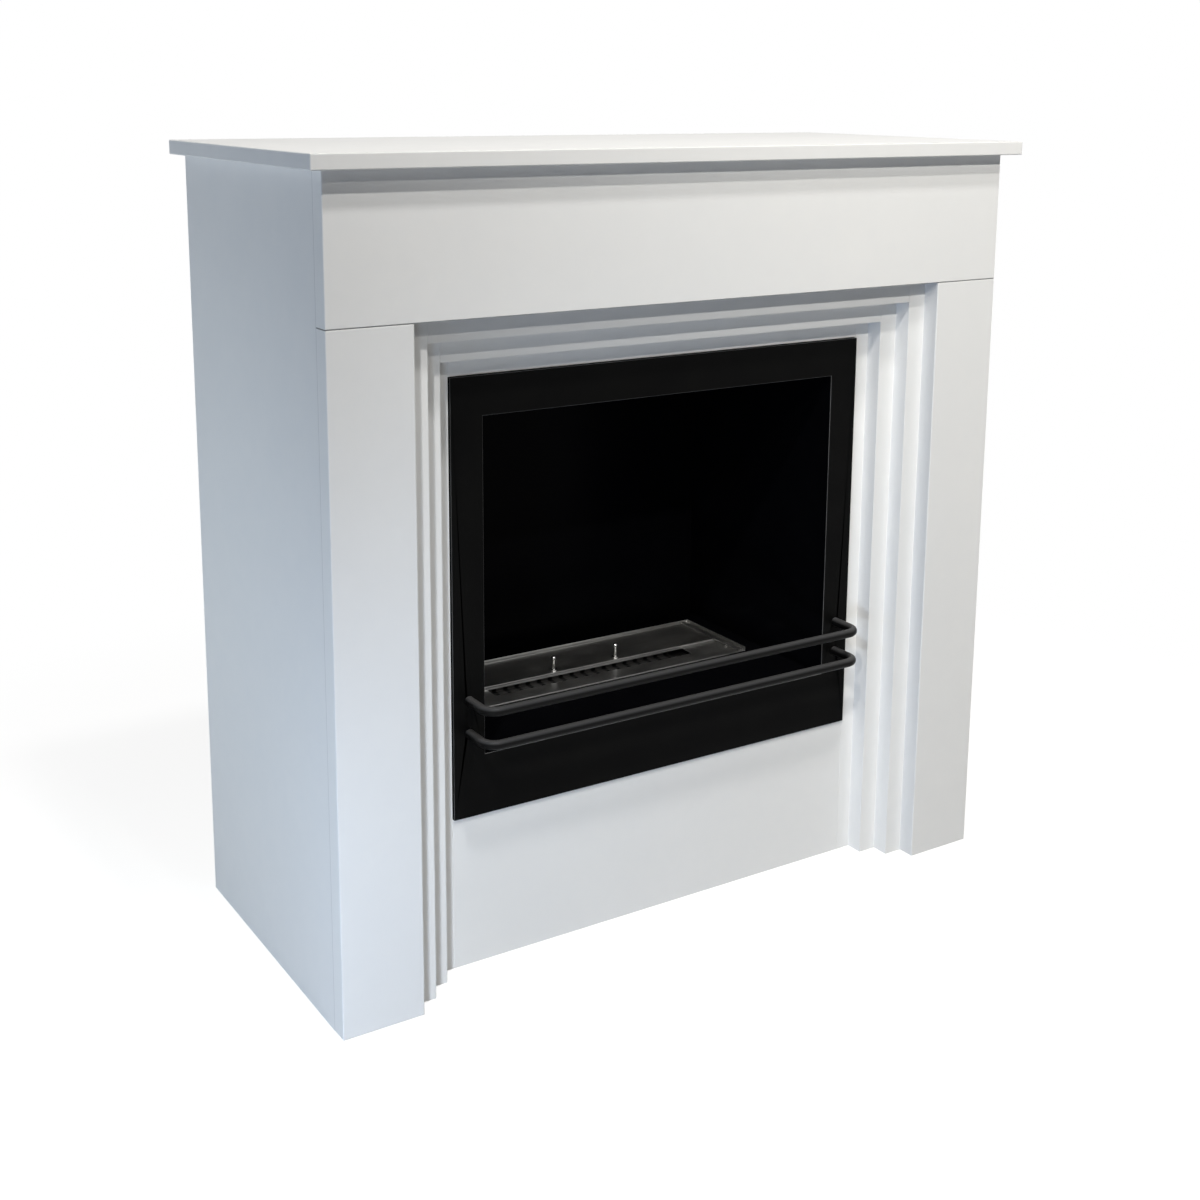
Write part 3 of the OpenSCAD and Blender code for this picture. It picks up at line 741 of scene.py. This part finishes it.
def finished_piece(mesh, name, material, body, stands_for):
    """Turns the mesh into a named piece that stands for a node."""
    bmesh.ops.recalc_face_normals(mesh, faces=mesh.faces)
    data = bpy.data.meshes.new(name)
    mesh.to_mesh(data)
    mesh.free()
    data.materials.append(material)
    data.shade_smooth()
    data.set_sharp_from_angle(angle=SMOOTH_BELOW)
    piece = bpy.data.objects.new(name, data)
    bpy.context.scene.collection.objects.link(piece)
    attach(piece, body)
    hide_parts(stands_for)
    return piece


def fasteners(node, make):
    """Replaces a node's plain pins by turned ones, in one piece."""
    mesh = bmesh.new()
    for corners in solids(node):
        make(mesh, Pin(corners))
    finished_piece(mesh, node + "_turned", ZINC, "surround", node)


for screws in ("shelf_screws", "rail_screws", "bracket_screws"):
    fasteners(screws, pan_head_screw)
fasteners("guard_bar_bolts", hex_bolt)


# Wool in the burner

WOOL_GRID = (86, 30, 24)
WOOL_CORNER = 12 * MM
WOOL_LAYERS = 4
AT_FACE = 0.999  # a point beyond this share of the half size lies on the block's face
SEAM_DEPTH = 2.2 * MM
PULLED_IN = 0.9 * MM
LUMP_HEIGHT = 0.8 * MM
LUMP_SCALE = 95.0
LUMP_NOISE = (0.9, 2.1, 4)  # how the octaves weaken, their step in scale, and their number
FLUFF_HEIGHT = 0.3 * MM
FLUFF_SCALE = 620.0


def lattice(counts):
    """The corners and faces of a box's surface on a grid of whole numbers."""
    corners = {}
    faces = []
    for axis in range(3):
        along, across = (axis + 1) % 3, (axis + 2) % 3
        for level, turn in ((0, -1), (counts[axis], 1)):
            for i in range(counts[along]):
                for j in range(counts[across]):
                    square = []
                    for step in ((0, 0), (1, 0), (1, 1), (0, 1)):
                        key = [0, 0, 0]
                        key[axis] = level
                        key[along] = i + step[0]
                        key[across] = j + step[1]
                        square.append(corners.setdefault(tuple(key), len(corners)))
                    faces.append(square[::turn])
    return list(corners), faces


def rounded(place, half, corner):
    """Pulls the points of a box's upright corners in to a round corner."""
    straight = [half[axis] - corner for axis in range(2)]
    over = [abs(place[axis]) - straight[axis] for axis in range(2)]
    if min(over) <= 0:
        return place
    scale = max(over) / math.hypot(*over)
    moved = [math.copysign(straight[axis] + over[axis] * scale, place[axis]) for axis in range(2)]
    return Vector((*moved, place.z))


def drawn_in(place, share, half):
    """How far the fibres and the seams pull a point of the wool's surface in."""
    layer = abs(math.sin(math.pi * WOOL_LAYERS * (share[2] + 1) / 2))
    lump = noise.fractal(place * LUMP_SCALE, *LUMP_NOISE)
    fluff = noise.noise(place * FLUFF_SCALE)
    depth = max(PULLED_IN + LUMP_HEIGHT * lump + FLUFF_HEIGHT * fluff, 0)
    inward = Vector((0, 0, 0))
    if max(abs(share[0]), abs(share[1])) > AT_FACE:
        seam = SEAM_DEPTH * (1.0 - layer) ** 2
        inward -= Vector((place.x / half.x, place.y / half.y, 0)).normalized() * (depth + seam)
    if abs(share[2]) > AT_FACE:
        inward -= Vector((0, 0, math.copysign(depth, place.z)))
    return inward


def wool():
    """Layers of ceramic wool packed into the burner: matted fibres with soft, drawn-in seams."""
    low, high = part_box("wick_wool")
    middle = (low + high) / 2
    half = (high - low) / 2
    keys, faces = lattice(WOOL_GRID)
    mesh = bmesh.new()
    made = []
    for key in keys:
        share = [2.0 * key[axis] / WOOL_GRID[axis] - 1.0 for axis in range(3)]
        place = rounded(Vector([half[axis] * share[axis] for axis in range(3)]), half, WOOL_CORNER)
        made.append(mesh.verts.new(middle + place + drawn_in(place, share, half)))
    for face in faces:
        mesh.faces.new([made[index] for index in face])
    piece = finished_piece(mesh, "ceramic_wool_pack", WOOL, "burner", "wick_wool")


wool()


# Floor, light and camera

FLOOR_REACH = 12.0
FLOOR_GREY = (0.40, 0.40, 0.40)
FLOOR_LIFT = 0.78  # the light that makes the grey floor show white and keeps its shadows
FLOOR_FADE = (0.75, 1.45)  # distances from the middle between which shadows fade out

OUTER_BOARDS = ("mantel_shelf", "left_side_panel", "right_side_panel", "frieze_board",
                "left_pilaster", "right_pilaster")

WARM = (1.0, 0.973, 0.915)
NEUTRAL = (1.0, 0.985, 0.965)
COOL = (0.68, 0.81, 1.0)
PALE_BLUE = (0.80, 0.93, 1.0)
BLUE = (0.42, 0.62, 1.0)
SKY = (0.90, 0.95, 1.0)
SKY_STRENGTH = 0.01

FRONT = (0.0, -0.20, 0.50)  # the middle of the front, at which most spots aim
WIDE = 120.0  # degrees

CAMERA_PLACE = Vector((-1.17787, -1.82712, 1.100))
YAW = math.radians(-32.44)
PITCH = math.radians(-11.17)
ROLL = math.radians(0.4)
LENS = 48.87  # millimetres, as the sensor is
SENSOR = 36.0
SHIFT = -0.16


def floor():
    """A pale floor that shows the camera white and keeps the object's shadow."""
    mesh = bpy.data.meshes.new("floor")
    ends = ((-1, -1), (1, -1), (1, 1), (-1, 1))
    mesh.from_pydata([(FLOOR_REACH * x, FLOOR_REACH * y, 0) for x, y in ends], [], [(0, 1, 2, 3)])
    piece = bpy.data.objects.new("floor", mesh)
    bpy.context.scene.collection.objects.link(piece)
    material, tree = new_material("pale_floor", (0.9, 0.9, 0.9))
    distance = tree.add("VectorMath", {0: tree.coords()}, operation="LENGTH").outputs["Value"]
    far = tree.ramp(distance, *FLOOR_FADE, interpolation_type="SMOOTHSTEP")
    seen = tree.seen()
    # Near the object the floor is grey and lifted to white; far off it is plain white to the eye
    diffuse = tree.add("BsdfDiffuse", {"Color": FLOOR_GREY}).outputs[0]
    lift = tree.add("Emission", {"Color": WHITE, "Strength": tree.times(seen, FLOOR_LIFT)}).outputs[0]
    near = tree.add("AddShader", {0: diffuse, 1: lift}).outputs[0]
    white = tree.add("Emission", {"Color": WHITE, "Strength": 1.0}).outputs[0]
    away = tree.add("MixShader", {0: seen, 1: diffuse, 2: white}).outputs[0]
    shader = tree.add("MixShader", {0: far, 1: near, 2: away}).outputs[0]
    tree.add("OutputMaterial", {"Surface": shader})
    mesh.materials.append(material)


def place_lamp(name, light, place, target, mirrored):
    """Puts a lamp at a place and turns it to a target; mirrored is whether gloss shows it."""
    lamp = bpy.data.objects.new(name, light)
    bpy.context.scene.collection.objects.link(lamp)
    lamp.location = place
    away = Vector(place) - Vector(target)
    lamp.rotation_euler = away.to_track_quat("Z", "Y").to_euler()
    lamp.visible_camera = False
    lamp.visible_glossy = mirrored
    return lamp


def spot(name, place, target, watts, angle, color, radius=0.06, mirrored=True):
    """A soft-edged spot lamp; angle is the whole cone in degrees."""
    light = bpy.data.lights.new(name, "SPOT")
    light.shadow_soft_size = radius
    light.energy = watts
    light.color = color
    light.spot_size = math.radians(angle)
    light.spot_blend = 1.0
    return place_lamp(name, light, place, target, mirrored)


def panel_lamp(name, place, target, watts, size, color):
    """A square lamp that no gloss shows."""
    light = bpy.data.lights.new(name, "AREA")
    light.size = size
    light.energy = watts
    light.color = color
    return place_lamp(name, light, place, target, mirrored=False)


def link_light(lamp, state):
    """Makes a lamp light the outer boards only, or all but them."""
    group = bpy.data.collections.new(lamp.name + "_boards")
    for board in OUTER_BOARDS:
        group.objects.link(nodes[board])
    lamp.light_linking.receiver_collection = group
    for entry in group.collection_objects:
        entry.light_linking.link_state = state


def lamps():
    """Spots from the upper front that draw the shadows, a low cool spot, and three fills."""
    spot("right_lamp", (-0.30, -2.60, 2.70), (1.70, -0.20, 0.70),
         watts=222.0, angle=84.0, color=WARM)
    left = spot("left_lamp", (-1.84, -2.00, 3.40), FRONT,
                watts=242.0, angle=WIDE, color=WARM, radius=0.08)
    # The left lamp draws the shadows on the steps, but it would make the left side too bright.
    # So the outer boards have a lamp of their own, from where it doesn't reach that side.
    link_light(left, "EXCLUDE")
    front = spot("front_lamp", (-0.50, -2.00, 3.40), FRONT,
                 watts=157.0, angle=WIDE, color=WARM)
    link_light(front, "INCLUDE")
    spot("steep_lamp", (-0.20, -1.40, 3.60), FRONT,
         watts=152.0, angle=WIDE, color=NEUTRAL, radius=0.14)
    spot("low_lamp", (-0.92, -0.90, 0.20), (-0.25, -0.20, 0.05),
         watts=16.0, angle=110.0, color=COOL, mirrored=False)
    panel_lamp("side_fill", (-1.45, 0.28, 0.44), (-0.5, 0.12, 0.46),
               watts=2.8, size=0.6, color=PALE_BLUE)
    panel_lamp("left_fill", (-3.60, -1.10, 0.50), (0.0, -0.1, 0.4),
               watts=17.0, size=1.4, color=BLUE)
    panel_lamp("back_fill", (1.70, 1.50, 0.45), (0.1, 0.1, 0.5),
               watts=22.0, size=0.9, color=NEUTRAL)


def surroundings():
    """A white world for the eye and for gloss, which lights the object only faintly."""
    world = bpy.data.worlds.new("studio")
    world.use_nodes = True
    bpy.context.scene.world = world
    tree = Tree(world.node_tree)
    seen = tree.seen()
    back = tree.add("Background", {"Color": tree.mix(seen, SKY, WHITE),
                                   "Strength": tree.ramp(seen, 0.0, 1.0, start=SKY_STRENGTH)})
    tree.add("OutputWorld", {"Surface": back.outputs[0]})


def camera():
    """The photograph's angle of view."""
    ahead = Vector((-math.sin(YAW) * math.cos(PITCH), math.cos(YAW) * math.cos(PITCH), math.sin(PITCH)))
    level = Vector((math.cos(YAW), math.sin(YAW), 0.0))
    upright = level.cross(ahead)
    right = level * math.cos(ROLL) + upright * math.sin(ROLL)
    up = -level * math.sin(ROLL) + upright * math.cos(ROLL)
    data = bpy.data.cameras.new("camera")
    data.lens = LENS
    data.sensor_width = SENSOR
    data.shift_y = SHIFT
    piece = bpy.data.objects.new("camera", data)
    bpy.context.scene.collection.objects.link(piece)
    turn = Matrix((right, up, -ahead)).transposed()
    piece.matrix_world = Matrix.Translation(CAMERA_PLACE) @ turn.to_4x4()
    bpy.context.scene.camera = piece


floor()
lamps()
surroundings()
camera()
bpy.context.scene.view_settings.view_transform = "Standard"
